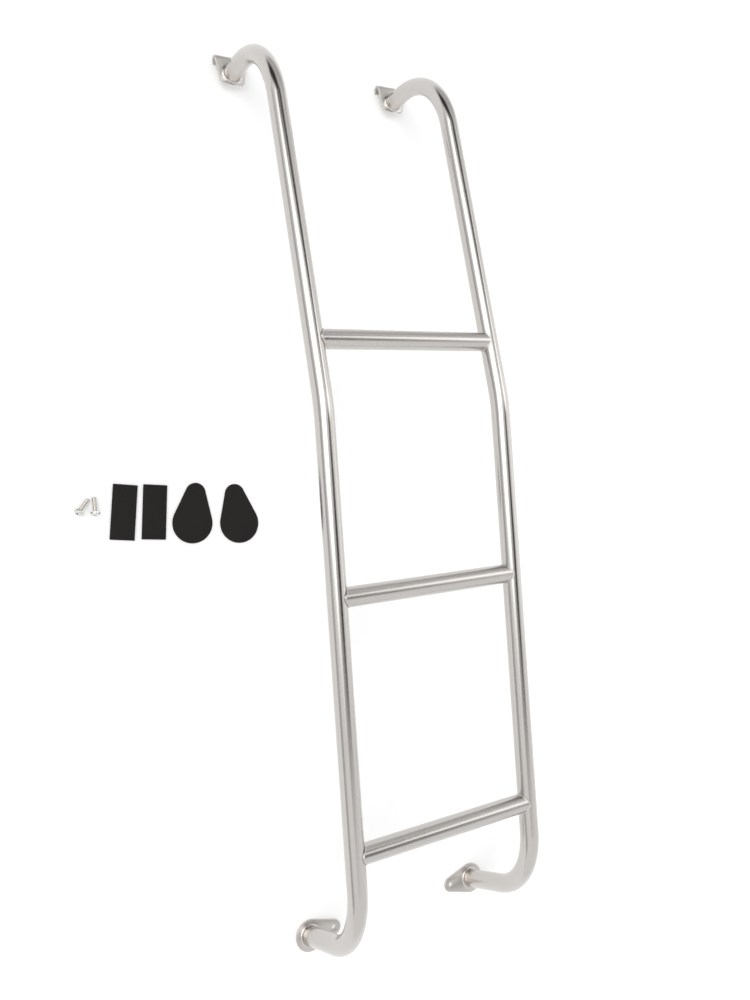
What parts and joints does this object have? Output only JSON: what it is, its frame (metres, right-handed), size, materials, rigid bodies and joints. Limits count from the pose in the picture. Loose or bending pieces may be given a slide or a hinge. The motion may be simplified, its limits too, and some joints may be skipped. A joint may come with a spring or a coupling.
{
  "type": "tailgate ladder",
  "caption": "Hook-on tailgate ladder of bent stainless tube with saddle-welded rungs, hook plates, screw-down foot plates and its loose rubber pads and screws.",
  "frame": {"origin": "below the middle of the whole part's box, on the surface that the ladder and its kit lie on", "axes": "+X along the rungs, +Y up the ladder from the feet to the hooks, +Z away from the tailgate, which is also up as it lies"},
  "size_m": [0.549, 1.2432, 0.2096],
  "materials": {
    "tube_steel": "satin brushed along and round the tube",
    "plate_steel": "satin sheet with a soft polish near the welds",
    "weld_metal": "bright polished weld",
    "screw_steel": "bright turned steel",
    "rubber": "matte black sheet rubber"
  },
  "bodies": {
    "ladder": {"left_rail": "tube_steel", "left_hook_plate": "plate_steel", "left_foot_plate": "plate_steel", "left_hook_weld": "weld_metal", "left_foot_weld": "weld_metal", "right_rail": "tube_steel", "right_hook_plate": "plate_steel", "right_foot_plate": "plate_steel", "right_hook_weld": "weld_metal", "right_foot_weld": "weld_metal", "top_rung": "tube_steel", "top_rung_left_weld": "weld_metal", "top_rung_right_weld": "weld_metal", "middle_rung": "tube_steel", "middle_rung_left_weld": "weld_metal", "middle_rung_right_weld": "weld_metal", "bottom_rung": "tube_steel", "bottom_rung_left_weld": "weld_metal", "bottom_rung_right_weld": "weld_metal"},
    "hook_pad_1": {"hook_pad_1": "rubber"},
    "hook_pad_2": {"hook_pad_2": "rubber"},
    "foot_pad_1": {"foot_pad_1": "rubber"},
    "foot_pad_2": {"foot_pad_2": "rubber"},
    "foot_screw_1": {"foot_screw_1": "screw_steel"},
    "foot_screw_2": {"foot_screw_2": "screw_steel"}
  },
  "joints": [
    {"name": "hook_pad_1_lift", "type": "slide", "parent": "ladder", "child": "hook_pad_1", "axis": [0, 0, 1], "range_m": [0, 0.05]},
    {"name": "hook_pad_2_lift", "type": "slide", "parent": "ladder", "child": "hook_pad_2", "axis": [0, 0, 1], "range_m": [0, 0.05]},
    {"name": "foot_pad_1_lift", "type": "slide", "parent": "ladder", "child": "foot_pad_1", "axis": [0, 0, 1], "range_m": [0, 0.05]},
    {"name": "foot_pad_2_lift", "type": "slide", "parent": "ladder", "child": "foot_pad_2", "axis": [0, 0, 1], "range_m": [0, 0.05]},
    {"name": "foot_screw_1_lift", "type": "slide", "parent": "ladder", "child": "foot_screw_1", "axis": [0, 0, 1], "range_m": [0, 0.05]},
    {"name": "foot_screw_2_lift", "type": "slide", "parent": "ladder", "child": "foot_screw_2", "axis": [0, 0, 1], "range_m": [0, 0.05]}
  ]
}
